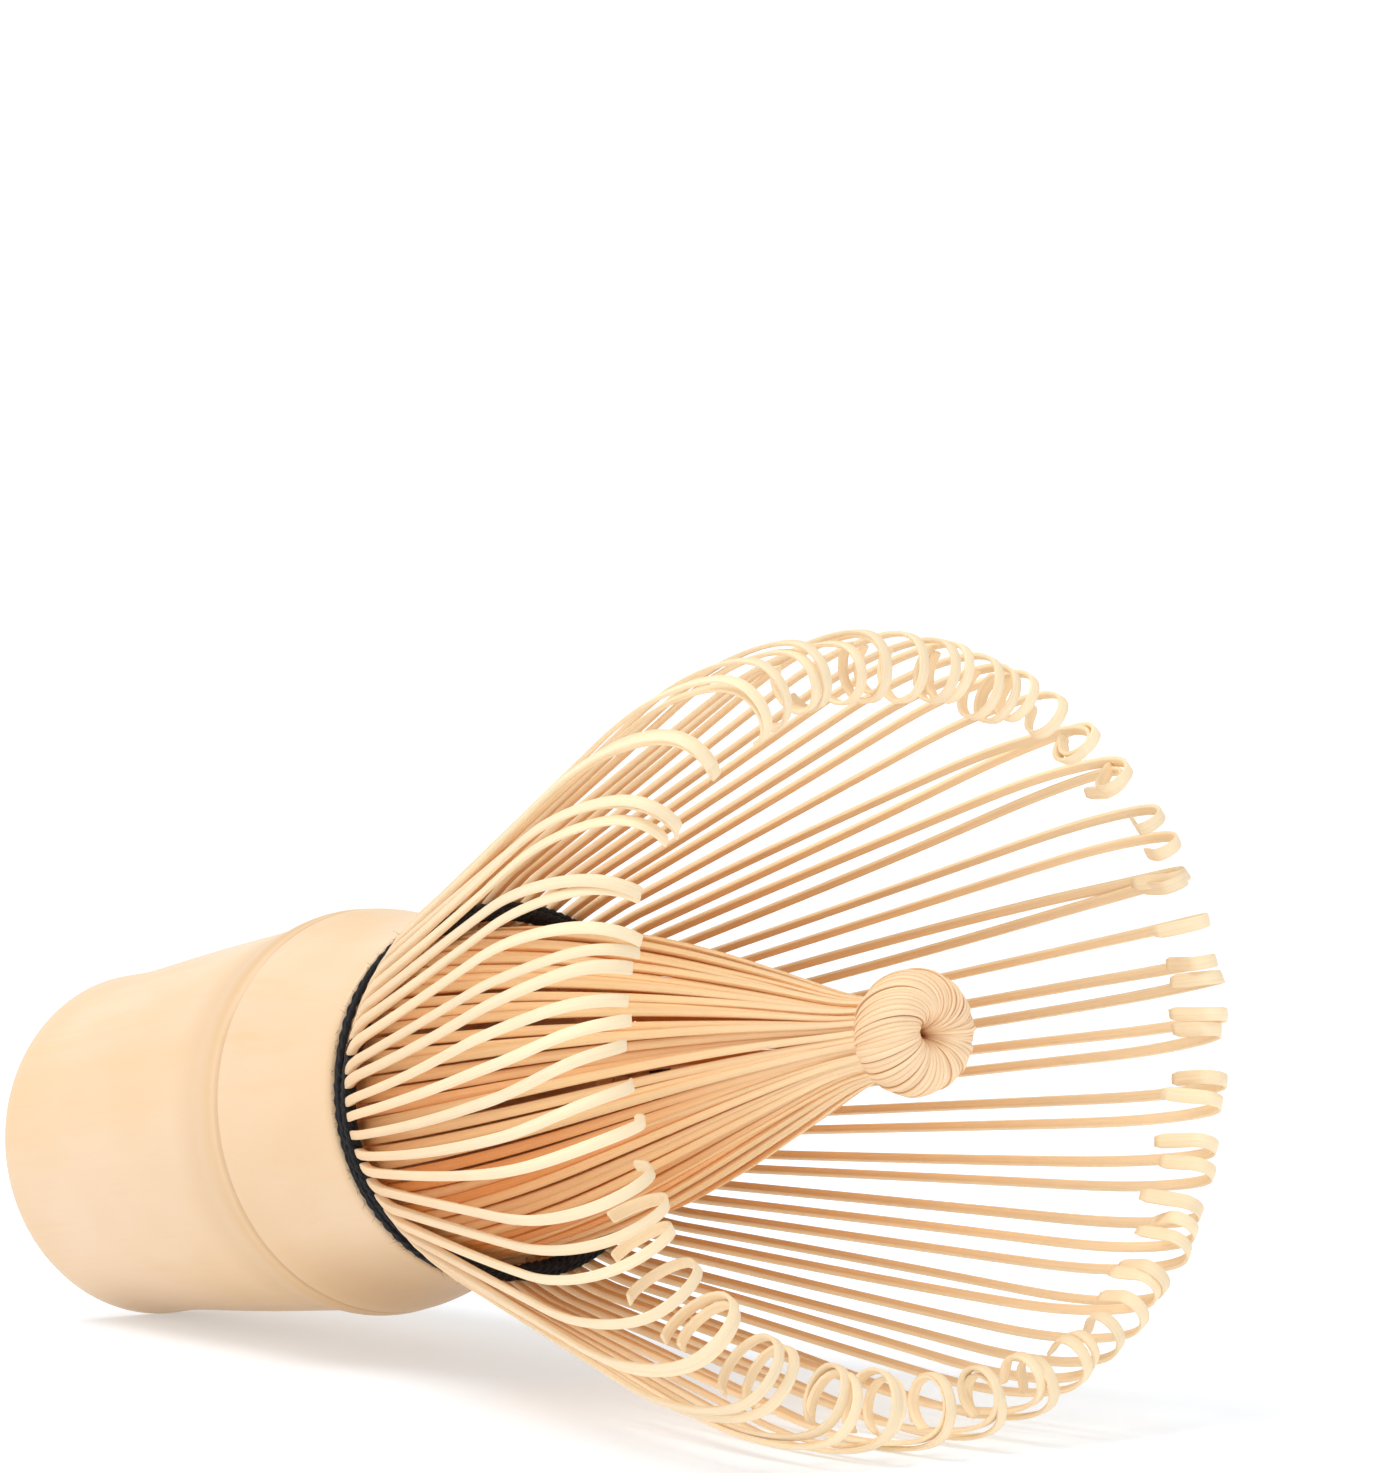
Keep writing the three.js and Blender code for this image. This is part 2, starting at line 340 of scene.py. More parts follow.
def split_bamboo(name, root, middle, tip, inside, edge, glow=0.0):
    """Tines: fibres along the grain, from the root's colour to the tip's. inside is for the inner face
    towards the root, partly painted shade there, and is painted shade where strips lie deep. edge is for the
    sides, a painted highlight where it is lighter. glow is painted light: an emission where strips lie deep,
    standing in for the warm light that thin strips pass on."""
    m = Nodes(name)
    grain, grain_xyz = m.attribute("grain")
    _, tone = m.attribute("tone")
    identity = m.math("FRACT", m.times(grain_xyz[2], 7.31))
    fibres = m.noise(m.stretched(grain, (0.05, 5.5, 31.0)), 1.0, 4.0, 0.65)
    fine = m.noise(m.stretched(grain, (0.35, 16.0, 17.0)), 1.0, 2.0)
    blotch = m.noise(m.stretched(grain, (0.11, 0.3, 53.0)), 1.0, 2.0)
    colour = m.blend(m.ramp(tone[0], 0.0, 0.5), root, middle)
    colour = m.blend(m.ramp(tone[0], 0.45, 1.0), colour, tip)
    # Painted shade: strips that lie deep take the inside colour. On the inner face towards the root it is
    # partly that face's own colour and partly painted shade.
    inner_face_and_painted_shade = m.times(m.ramp(tone[2], 0.5, -0.8), m.ramp(tone[0], 1.05, 0.25))
    colour = m.blend(m.times(inner_face_and_painted_shade, 0.85), colour, inside)
    # The sides take the edge colour: a painted highlight on the outer tines, and darker sides on the inner
    # tines and the knot.
    at_edge = m.times(m.ramp(m.math("ABSOLUTE", tone[1]), 0.74, 1.0), m.ramp(tone[2], -1.2, -0.4))
    colour = m.blend(m.times(at_edge, 0.75), colour, edge)
    shift = m.times(m.minus(identity, 0.5), 0.1)
    value = m.plus(1.0, shift)
    value = m.plus(value, m.times(m.minus(fibres, 0.5), 0.3))
    value = m.plus(value, m.times(m.minus(blotch, 0.5), 0.14))
    tint = m.add("ShaderNodeHueSaturation", None, Value=value, Color=colour)
    m.feed(tint, "Saturation", m.minus(1.1, m.times(fine, 0.2)))
    m.bump(m.plus(fibres, m.times(fine, 0.4)), 0.35, 0.00008)
    roughness = m.plus(0.42, m.times(fine, 0.28))
    # Painted glow: an emission in the inside colour where strips lie deep.
    painted_glow_light = {"Emission_Color": inside, "Emission_Strength": m.times(inner_face_and_painted_shade, glow)}
    return m.finish(tint.outputs[0], roughness, Specular_IOR_Level=0.35, **painted_glow_light)


def culm_skin():
    """The handle's outside: smooth satin skin with faint long streaks, and darker on the flanks. It has
    painted shade in the node's crease, on the concave flare below the node's ring and on the underside, and a
    painted shadow under the collar."""
    m = Nodes("bamboo_skin")
    grain, xyz = m.attribute("grain")
    streaks = m.noise(m.stretched(grain, (0.55, 0.55, 0.012)), 1.0, 4.0, 0.6)
    fibres = m.noise(m.stretched(grain, (5.0, 5.0, 0.06)), 1.0, 3.0, 0.6)
    clouds = m.noise(m.stretched(grain, (0.07, 0.07, 0.05)), 1.0, 2.0)
    colour = m.blend(m.ramp(clouds, 0.3, 0.7), rgb(238, 203, 158), rgb(243, 213, 180))
    colour = m.blend(m.times(m.ramp(streaks, 0.45, 0.75), 0.5), colour, rgb(239, 198, 143))
    colour = m.blend(m.times(m.ramp(fibres, 0.55, 0.8), 0.16), colour, rgb(214, 170, 112))
    # Painted shade: a dark line in the node's crease.
    crease = m.math("ABSOLUTE", m.minus(xyz[2], CREASE_Z))
    line = m.times(m.ramp(crease, 0.45, 0.05), 0.38)
    colour = m.blend(line, colour, rgb(176, 132, 84))
    # Painted shade on the concave flare below the node's ring, which faces away from the light.
    flare = m.times(m.ramp(xyz[2], 29.0, 34.5), m.ramp(xyz[2], 38.2, 36.8))
    colour = m.blend(m.times(flare, 0.85), colour, rgb(222, 182, 132))
    # Painted shade: darker on the underside, which faces the floor.
    underside = m.ramp(xyz[0], 4.0, 16.5)
    colour = m.blend(m.times(underside, 0.6), colour, rgb(196, 158, 112))
    # Painted shadow under the collar, which faces the floor in the whisk's own shadow.
    painted_collar_shadow = m.times(m.ramp(xyz[0], 9.0, 15.5), m.ramp(xyz[2], 35.0, 44.0))
    colour = m.blend(m.times(painted_collar_shadow, 0.62), colour, rgb(188, 146, 94))
    flank = m.ramp(m.math("ABSOLUTE", xyz[1]), 8.0, 16.0)
    colour = m.blend(m.times(flank, 0.5), colour, rgb(219, 184, 144))
    m.bump(m.plus(fibres, m.times(streaks, 0.5)), 0.10, 0.0001)
    roughness = m.plus(0.34, m.times(fibres, 0.14))
    return m.finish(colour, roughness, Specular_IOR_Level=0.45, Coat_Weight=0.12, Coat_Roughness=0.3)


def culm_end():
    """Sawn end grain: pale wood with the dots of its fibre bundles, stronger near the skin."""
    m = Nodes("bamboo_end_grain")
    grain, _ = m.attribute("grain")
    flat = m.stretched(grain, (1.0, 1.0, 0.0))
    cells = m.add("ShaderNodeTexVoronoi", {"feature": "F1"}, Vector=flat, Scale=1.9)
    dots = m.ramp(cells.outputs["Distance"], 0.34, 0.16)
    from_axis = m.add("ShaderNodeVectorMath", {"operation": "LENGTH"}, i0=flat).outputs["Value"]
    near_skin = m.ramp(from_axis, 10.5, 14.5)
    saw = m.noise(m.stretched(grain, (0.6, 7.0, 1.0)), 1.0, 3.0)
    colour = m.blend(near_skin, rgb(236, 205, 158), rgb(222, 184, 130))
    colour = m.blend(m.times(dots, m.plus(0.35, m.times(near_skin, 0.4))), colour, rgb(150, 100, 56))
    colour = m.blend(m.times(saw, 0.2), colour, rgb(205, 165, 112))
    m.bump(m.minus(saw, m.times(dots, 0.6)), 0.5, 0.0002)
    return m.finish(colour, 0.7)


def culm_bore():
    """The culm's hollow: matt papery lining with long fibres."""
    m = Nodes("bamboo_bore")
    grain, _ = m.attribute("grain")
    fibres = m.noise(m.stretched(grain, (2.6, 2.6, 0.05)), 1.0, 4.0, 0.6)
    blotch = m.noise(m.stretched(grain, (0.25, 0.25, 0.12)), 1.0, 3.0)
    colour = m.blend(fibres, rgb(236, 210, 168), rgb(206, 166, 112))
    colour = m.blend(m.times(m.ramp(blotch, 0.5, 0.75), 0.4), colour, rgb(186, 140, 88))
    m.bump(fibres, 0.4, 0.0002)
    return m.finish(colour, 0.8)


def black_yarn():
    """Dyed cotton: matt near-black with fine fibres along the twist and a soft sheen."""
    m = Nodes("black_thread")
    grain, _ = m.attribute("grain")
    fibres = m.noise(m.stretched(grain, (2.2, 9.0, 3.0)), 1.0, 3.0, 0.7)
    colour = m.blend(fibres, rgb(12, 12, 14), rgb(40, 39, 43))
    m.bump(fibres, 0.8, 0.0002)
    return m.finish(colour, 0.9, Sheen_Weight=0.12, Sheen_Roughness=0.5, Specular_IOR_Level=0.15)


# ---- Handle ----


SKIN, END_GRAIN, BORE = range(3)


def handle_outline():
    """The handle's [radius, height] points from the diaphragm's upper face, over the outside, to its lower
    face, and the look of each."""
    inside_top = [
        (3.0, DIAPHRAGM_TOP + 0.2), (8.0, DIAPHRAGM_TOP), (9.6, DIAPHRAGM_TOP + 0.5),
        (BORE_RADIUS, DIAPHRAGM_TOP + 2.0), (BORE_RADIUS + 0.2, 46.0), (BORE_RADIUS + 0.3, HANDLE_TOP - 0.3),
    ]
    top = [(BORE_RADIUS + 0.5, HANDLE_TOP), (12.6, HANDLE_TOP), (14.5, HANDLE_TOP)]
    crease = [(16.5, CREASE_Z - 0.14), (16.36, CREASE_Z), (16.44, CREASE_Z + 0.12)]
    outside = [smooth_curve(COLLAR, 24)[::-1], crease[::-1], smooth_curve(BARREL, 46)[::-1]]
    rim = [(14.66, 0.26), (14.35, 0.03), (14.1, 0.0)]
    end = [(12.4, 0.0), (BORE_RADIUS + 0.4, 0.0)]
    inside_bottom = [
        (BORE_RADIUS + 0.1, 0.3), (BORE_RADIUS, 1.0), (BORE_RADIUS, 12.0), (BORE_RADIUS, 24.0),
        (BORE_RADIUS, DIAPHRAGM_BOTTOM - 2.0), (9.6, DIAPHRAGM_BOTTOM - 0.5),
        (8.0, DIAPHRAGM_BOTTOM), (3.0, DIAPHRAGM_BOTTOM + 0.2),
    ]
    groups = [(BORE, inside_top), (END_GRAIN, top), *((SKIN, part) for part in outside), (SKIN, rim),
              (END_GRAIN, end), (BORE, inside_bottom)]
    outline = np.concatenate([np.array(points, float) for _, points in groups])
    return outline, [look for look, points in groups for _ in points]


def make_handle():
    outline, looks = handle_outline()
    angle = np.linspace(0, 2 * math.pi, HANDLE_SIDES, endpoint=False)
    radius = outline[:, :1]
    height = outline[:, 1:]
    # A grown culm is never quite round or straight.
    wobble = 0.035 * np.cos(2 * angle + 0.6 + height * 0.01)
    wobble = wobble + 0.025 * np.cos(3 * angle + 2.0 - height * 0.05)
    wobble = wobble * np.clip(height / 12, 0, 1)
    rings = polar(radius + wobble, angle, height)
    surface = Surface()
    surface.add(rings, rings, rings, lambda i: looks[i + 1])
    surface.piece("handle_culm", [culm_skin(), culm_end(), culm_bore()], ["handle"])


# ---- Outer tines ----


def bend_and_curl(curl_radius, turn, tail):
    """Steps along an outer tine's upper part, and how far its heading has turned in after each: a bend that
    tightens into the curl, then a straight tail."""
    curl_step = math.radians(15)
    s = 1 - np.linspace(1, 0, 19) ** 1.7
    bend_turn = BEND_TURN * s**1.3 + BEND_LENGTH / curl_radius * s**12 / 12
    curl_turn = np.arange(1, max(2, int((turn - bend_turn[-1]) / curl_step)) + 1) * curl_step
    # The curl winds in on itself.
    curl_steps = curl_radius * curl_step * (1 - 0.12 * curl_turn / (2 * math.pi))
    curl_turn = np.append(curl_turn, curl_turn[-1] + 0.05)
    steps = np.concatenate([np.diff(s) * BEND_LENGTH, curl_steps, [tail]])
    return steps, np.concatenate([bend_turn, bend_turn[-1] + curl_turn])


def tine_profile(crest, reach, curl_radius, turn, tail):
    """Radius, height and heading of an outer tine's middle line: its root, a straight flare, and the bend and
    curl, with its top at crest and its widest point at reach. The heading is the angle outwards from the
    whisk's axis."""
    steps, turned = bend_and_curl(curl_radius, turn, tail)
    root = smooth_curve(OUTER_ROOT, 12)
    foot_radius, foot_height = OUTER_ROOT[-1]
    flare = math.radians(18)
    # The flare's angle and the bend's start depend on each other, and settle in a few rounds.
    for _ in range(4):
        heading = flare - turned
        middle = (heading[1:] + heading[:-1]) / 2
        dr = np.concatenate([[0], np.cumsum(steps * np.sin(middle))])
        dz = np.concatenate([[0], np.cumsum(steps * np.cos(middle))])
        start = (reach - dr.max(), crest - dz.max())
        flare = math.atan2(start[0] - foot_radius, start[1] - foot_height)
    straight = np.linspace(0, 1, 9)[1:-1]
    radius = np.concatenate([root[:, 0], foot_radius + (start[0] - foot_radius) * straight, start[0] + dr])
    height = np.concatenate([root[:, 1], foot_height + (start[1] - foot_height) * straight, start[1] + dz])
    root_heading = np.arctan2(np.gradient(root[:, 0]), np.gradient(root[:, 1]))
    heading = np.concatenate([root_heading, np.full(len(straight), flare), heading])
    # Stations close to the end, to round its corners.
    at = np.concatenate([np.arange(len(radius) - 1), len(radius) - 2 + np.array([0.45, 0.8, 1.0])])
    return [np.interp(at, np.arange(len(radius)), values) for values in (radius, height, heading)]


def outer_azimuth(i):
    """Where outer tine i leaves the thread. They are split a little wider apart on the worn side."""
    middle = math.radians(WORN_SIDE[0])
    even = (i + 0.5) * PITCH - middle
    return middle + even + WORN_GAPS[0] * math.sin(even) + WORN_GAPS[1] * math.sin(2 * even)


def bunched_tips(draw):
    """Neighbouring tips hold together in twos and threes, mostly at the top and under the whisk. Gives each
    tine's lean towards its bunch, in tine spacings, and how many strips it lies under in the bunch."""
    lean, under = [], []
    while len(lean) < TINES:
        here = outer_azimuth(len(lean))
        crowded = float(max(beside(here, *side) for side in CROWDED_SIDES))
        size = 1 + (draw.random() < 0.3 + 0.65 * crowded) + (draw.random() < 0.45 * crowded)
        size = min(size, TINES - len(lean))
        cling = draw.uniform(0.45, 0.65) + 0.3 * crowded
        order = draw.sample(range(size), size)
        for k in range(size):
            lean.append(((size - 1) / 2 - k) * cling)
            under.append(order[k])
    return lean, under


def curl_at(angle, pressed, draw):
    """Radius, turn and straight tail of a tine's curl: round nearly everywhere, but pressed flat into a hook
    on one side and hardly begun on the worn side."""
    open_hook = float(beside(angle, *OPEN_HOOK_SIDE))
    large = float(beside(angle, *LARGE_CURL_SIDE))
    small = float(beside(angle, *SMALL_CURL_SIDE))
    radius = CURL_RADIUS - 1.35 * pressed + 0.4 * large - 0.4 * small
    turn = CURL_TURN - PRESSED_TURN * pressed - OPEN_HOOK_TURN * open_hook + draw.uniform(-22, 28)
    tail = 0.4 + draw.uniform(2.2, 3.4) * pressed
    return radius * draw.uniform(0.92, 1.08), math.radians(turn), tail


def outer_tine_line(angle, pressed, worn, under, draw):
    """An outer tine's profile, with its own height, reach and curl."""
    # Wider beside the place where the whisk rests, and pushed in a little where it does.
    splay = float(1.9 * beside(angle, *SPLAYED_SIDE) - 0.2 * beside(angle, *RESTING_SIDE))
    crest = CREST_Z - abs(draw.gauss(0, TIP_SCATTER)) - TIP_STEP * under - 1.2 * worn
    reach = REACH - abs(draw.gauss(0, TIP_SCATTER)) - TIP_STEP * under + splay
    curl_radius, turn, tail = curl_at(angle, pressed, draw)
    return tine_profile(crest, reach, curl_radius - CURL_STEP * under, turn, tail)


def curled_part(progress):
    """0 along the straight part of a tine, growing to 1 at its tip."""
    return np.clip((progress - 0.72) / 0.28, 0, 1)


def outer_tine_course(angle, worn, bunch_lean, splint_lean, rise, progress, draw):
    """Where an outer tine lies round the axis, from its root to its tip."""
    own_lean = max(-MOST_LEAN, min(MOST_LEAN, draw.gauss(0, 0.8) + splint_lean))
    lean = math.radians(own_lean - WORN_LEAN * worn)
    wave = math.radians(draw.gauss(0, 0.25)) * np.sin(progress * 5 + draw.uniform(0, 6))
    drift = (draw.uniform(-0.02, 0.04) - 0.07 * worn) * curled_part(progress) ** 2
    around = angle + math.radians(draw.gauss(0, 0.3)) + lean * rise + wave * rise + drift
    return around + bunch_lean * PITCH * rise**2.5


def add_outer_tine(surface, i, bunch_lean, under, splint_lean, draw):
    angle = outer_azimuth(i)
    pressed = float(beside(angle, *PRESSED_SIDE))
    worn = float(beside(angle, *WORN_SIDE))
    radius, height, heading = outer_tine_line(angle, pressed, worn, under, draw)
    rise = np.clip((height - ROOT_Z) / (CREST_Z - ROOT_Z), 0, 1)
    travelled = arc_length(np.stack([radius, height], -1))
    progress = travelled / travelled[-1]
    around = outer_tine_course(angle, worn, bunch_lean, splint_lean, rise, progress, draw)
    out = polar(1.0, around, 0.0) * np.cos(heading)[:, None] - UPWARD * np.sin(heading)[:, None]
    roll = math.radians(draw.gauss(0, 5)) * progress + math.radians(draw.gauss(0, 9)) * progress**6
    side, out = rolled(polar(1.0, around + math.pi / 2, 0.0), out, roll)
    # It widens a little towards its tip, most where it is pressed flat, and is shaved thin above its root.
    width = 0.8 + 0.2 * progress**1.5 + 0.28 * pressed * progress**8 + draw.gauss(0, 0.03)
    thickness = 0.8 - 0.42 * np.clip(progress / 0.6, 0, 1) ** 0.8 - 0.08 * curled_part(progress)
    width[-3:] *= TIP_ROUNDING
    thickness[-1] *= 0.6
    centre = polar(radius, around, height)
    add_strip(surface, centre, side, out, width, thickness, travelled, rise, i + FIRST_OUTER_STRIP)


def make_outer_tines(material):
    draw = random.Random(OUTER_SEED)
    bunch_lean, under = bunched_tips(draw)
    for splint in range(SPLINTS):
        surface = Surface()
        splint_lean = draw.gauss(0, 0.4)
        for i in range(splint * TINES_PER_SPLINT, (splint + 1) * TINES_PER_SPLINT):
            add_outer_tine(surface, i, bunch_lean[i], under[i], splint_lean, draw)
        number = f"{splint + 1:02d}"
        surface.piece(f"outer_comb_{number}", [material], [f"outer_tines_{number}"])


# ---- Inner tines ----

# The cone is two strips deep towards the knot, LAYER_DEPTH apart, and twists a little on its way there.
INNER_LAYERS = 2
LAYER_DEPTH = 0.34
CONE_TWIST = math.radians(14)


def add_inner_tine(surface, i, curve, draw):
    travelled = arc_length(curve)
    progress = travelled / travelled[-1]
    layer = draw.randint(0, INNER_LAYERS - 1)
    # The tines aren't evenly spaced: some crowd together and leave gaps.
    bunch = 0.36 * math.sin(i * 1.7) + 0.34 * math.sin(i * 0.61 + 1) + draw.gauss(0, 0.22)
    around = i * PITCH + PITCH * bunch * progress**0.8 - CONE_TWIST * progress**2
    bow = draw.gauss(0, 0.2) * np.sin(progress * math.pi) - draw.uniform(0, 0.12) * progress
    radius = curve[:, 0] + bow - layer * LAYER_DEPTH * np.clip(progress * 1.4, 0, 1) ** 1.5
    slope = np.gradient(curve[:, 0], travelled)[:, None]
    rise = np.gradient(curve[:, 1], travelled)[:, None]
    out = polar(1.0, around, 0.0) * rise - UPWARD * slope
    roll = math.radians(draw.gauss(0, 7)) * np.sin(progress * math.pi)
    side, out = rolled(polar(1.0, around + math.pi / 2, 0.0), out, roll)
    width = draw.uniform(0.9, 1.04) * (1 - 0.5 * progress**1.7)
    thickness = 0.6 - 0.25 * progress
    # Painted shade: the lower layer and the bundle's shaded side turn towards the deep colour.
    painted_depth_shade = 0.6 * layer + 1.1 * beside(around, *SHADED_SIDE)
    centre = polar(radius, around, curve[:, 1])
    identity = i + FIRST_INNER_STRIP
    add_strip(surface, centre, side, out, width, thickness, travelled, progress, identity, painted_depth_shade)


def make_inner_tines(material):
    draw = random.Random(INNER_SEED)
    curve = smooth_curve(INNER_CURVE, 26)
    for splint in range(SPLINTS):
        surface = Surface()
        first = splint * TINES_PER_SPLINT - TINES_PER_SPLINT // 2
        for i in range(first, first + TINES_PER_SPLINT):
            add_inner_tine(surface, i, curve, draw)
        number = f"{splint + 1:02d}"
        surface.piece(f"inner_comb_{number}", [material], [f"inner_tines_{number}"])


# ---- Knot ----

# The tine ends lie in two layers on the bulb, so only about this many show.
KNOT_STRANDS = 54
# The bulb is a thick ring: the radius of its middle line, its half width and its half height.
KNOT_RING = 2.45
KNOT_BULGE = 1.98
KNOT_HALF_HEIGHT = 2.85
# How far the folded strands stand out, and where the pit lies beside the axis.
KNOT_SWELL = 0.35
PIT = np.array([-0.05, 0.12, 0.0])
# How deep the strands' middle lines and the core between them lie under the bulb's surface.
STRAND_DEPTH = 0.12
CORE_DEPTH = 0.3
# Where strands start and end round the ring's section, in degrees from its outermost point.
STRAND_START = -112
STRAND_END = 200
STRAND_STATIONS = 44


def knot_surface(angle_round_tube, swell=0.0):
    """Radius and height on the bulb, a ring whose hole is the pit in the top and the neck below."""
    radius = KNOT_RING + (KNOT_BULGE + swell) * np.cos(angle_round_tube)
    height = KNOT_Z + (KNOT_HALF_HEIGHT + swell) * np.sin(angle_round_tube)
    return radius, height


def knot_fold(base):
    """How strongly the strands wind round the pit: most on the upper near side, where they are folded over
    their neighbours, and hardly at all beyond that fold."""
    degrees = math.degrees(base) % 360
    return float(smooth_step(degrees, 50, 205) * (1 - smooth_step(degrees, 258, 288)))


def strand_azimuth(base, progress):
    return base - math.radians(12 + 98 * knot_fold(base)) * progress**1.5


def strand_bases(draw):
    """Where the strands leave the neck: closer together where the fold would spread them apart."""
    bases = [0.0]
    step = 2 * math.pi / KNOT_STRANDS
    while bases[-1] < 2 * math.pi - step / 2:
        here = bases[-1]
        spread = abs(strand_azimuth(here + step, 0.75) - strand_azimuth(here, 0.75)) / step
        bases.append(here + step * draw.uniform(0.85, 1.15) / min(3.0, max(0.8, spread)))
    return bases


def add_knot_core(surface, tube, to_pit):
    """What shows between the strands: a plain ring just under them, its hole closed at the pit's bottom. It
    is a sheet of painted shade, in the deep colour.
    """
    radius, height = knot_surface(tube, -CORE_DEPTH)
    around = np.linspace(0, 2 * math.pi, 64, endpoint=False)
    core = polar(np.maximum(radius, 0.15)[:, None], around, height[:, None]) + to_pit[:, None]
    surface.add(core, core * 0.3, (0.0, 0.0, -1.0))


def add_knot_strand(surface, base, next_base, tube, progress, to_pit, identity, draw):
    """A strand from the neck, up over the bulb and down into the pit, as wide as its room there allows."""
    deep = smooth_step(progress, 0.8, 0.95)
    swell = KNOT_SWELL * knot_fold(base) * smooth_step(progress, 0.2, 0.6)
    radius, height = knot_surface(tube, swell - STRAND_DEPTH)
    around = strand_azimuth(base, progress)
    gap = np.abs(strand_azimuth(next_base, progress) - around)
    lift = draw.gauss(0, 0.045) + 0.035 * np.sin(progress * 7 + draw.uniform(0, 6))
    lifted = np.maximum(radius + lift * np.cos(tube), 0.1)
    centre = polar(lifted, around, height + lift * np.sin(tube)) + to_pit
    tangent = unit(np.gradient(centre, axis=0))
    side = unit(np.cross(polar(np.cos(tube), around, np.sin(tube)), tangent))
    out = np.cross(tangent, side)
    # A strand that runs slantwise has less room across it.
    slant = np.abs(np.sum(tangent * polar(-np.sin(tube), around, np.cos(tube)), axis=-1))
    room = gap * np.maximum(radius, 0.3) * np.maximum(slant, 0.45)
    width = np.clip(room * draw.uniform(1.1, 1.3), 0.3 - 0.16 * deep, 0.85)
    thickness = 0.14 + 0.3 * np.minimum(width / 0.55, 1)
    # Painted shade in the pit: down there the strands take the knot's dark root colour and the deep colour.
    position = 0.75 - 0.65 * deep
    add_strip(surface, centre, side, out, width, thickness, arc_length(centre), position, identity, 2 * deep)


def make_knot(material):
    draw = random.Random(KNOT_SEED)
    surface = Surface()
    tube = np.radians(np.linspace(STRAND_START, STRAND_END, STRAND_STATIONS))
    progress = (tube - tube[0]) / (tube[-1] - tube[0])
    to_pit = (progress**3)[:, None] * PIT
    add_knot_core(surface, tube, to_pit)
    bases = strand_bases(draw)
    for i, (base, next_base) in enumerate(zip(bases, bases[1:])):
        add_knot_strand(surface, base, next_base, tube, progress, to_pit, i + FIRST_KNOT_STRIP, draw)
    surface.piece("knot_swirl", [material], ["inner_tine_knot"])


# ---- Thread ----

# The height that the thread climbs in each turn.
THREAD_SPACING = 0.5
STATIONS_PER_TURN = 620
OUTER_YARN_RADIUS = 0.27
INNER_YARN_RADIUS = 0.36
# A ply's radius and how far its middle lies from the yarn's, as parts of the yarn's radius.
PLY_RADIUS = 0.78
PLY_OFFSET = 0.26
# How far the inner thread has slid down on its slack side.
THREAD_SLIP = 2.9
YARN_TONE = (0.5, 0.0, 0.0)


def add_yarn(surface, path, radius, lay, phase, identity):
    """Two plies twisted round a path, one full twist every lay millimetres."""
    tangent = unit(np.gradient(path, axis=0))
    side = unit(np.cross(tangent, UPWARD))
    top = np.cross(side, tangent)
    travelled = arc_length(path)
    corner = np.linspace(0, 2 * math.pi, 7, endpoint=False)
    for ply in range(2):
        turn = travelled / lay * 2 * math.pi + ply * math.pi + phase
        heart = path + PLY_OFFSET * radius * (np.cos(turn)[:, None] * side + np.sin(turn)[:, None] * top)
        ring = np.cos(corner)[None, :, None] * side[:, None] + np.sin(corner)[None, :, None] * top[:, None]
        shape = (len(path), len(corner))
        grain = np.stack([
            np.broadcast_to(travelled[:, None], shape),
            np.broadcast_to(corner[None, :], shape) + turn[:, None] * 0.1,
            np.full(shape, identity + ply),
        ], -1)
        surface.add(heart[:, None] + PLY_RADIUS * radius * ring, grain, YARN_TONE)


def add_fuzz(surface, draw, count, radius_at, height_range, reach):
    """Loose fibre ends that stand out of the yarn."""
    corner = np.linspace(0, 2 * math.pi, 3, endpoint=False)
    for _ in range(count):
        around = draw.uniform(0, 2 * math.pi)
        height = draw.uniform(*height_range)
        start = polar(radius_at(height), around, height)
        outward = polar(draw.uniform(0.2, 1.0), around + draw.gauss(0, 0.9), draw.gauss(0, 0.6))
        bend = np.array([draw.gauss(0, 0.5), draw.gauss(0, 0.5), draw.gauss(0, 0.5)])
        t = np.linspace(0, 1, 5)[:, None]
        length = draw.uniform(0.25, 1.0) * reach
        path = start + (outward * t + bend * t**2) * length
        thick = 0.022 * (1 - 0.7 * t)
        u = unit(np.cross(outward, (0.3, 0.2, 1.0)))
        v = unit(np.cross(outward, u))
        ring = np.cos(corner)[None, :, None] * u + np.sin(corner)[None, :, None] * v
        surface.add(path[:, None] + ring * thick[:, None], (0.0, 0.0, 1.0), YARN_TONE)


def wound_path(turns, first_height, radius_at, draw, tuck=0.0, slip=0.0):
    """A spiral of thread round the whisk. tuck makes it dip between the tines that it passes over, and
    slip is how far it has slid down on its slack side."""
    count = int(turns * STATIONS_PER_TURN)
    around = np.linspace(0, 2 * math.pi * turns, count)
    height = first_height + THREAD_SPACING * around / (2 * math.pi)
    sag = 0.06 * np.sin(around * 3 + 1) + 0.04 * np.sin(around * 7.3 + draw.uniform(0, 6))
    dip = tuck * np.cos(around * TINES)
    slid = slip * beside(around, *SLACK_SIDE)
    return polar(radius_at(height) + dip, around, height + sag - slid)


def outer_thread_radius(height):
    """The outer tines spread as they rise, and the thread with them."""
    return 14.72 + (height - ROOT_Z) * 0.22


def inner_thread_radius(height):
    """The inner thread leans on the outer tines' inside."""
    return 13.6 + (height - 55.0) * 0.32


def above_inner_thread(height):
    """The second layer of turns lies on the first."""
    return inner_thread_radius(height) + 0.5


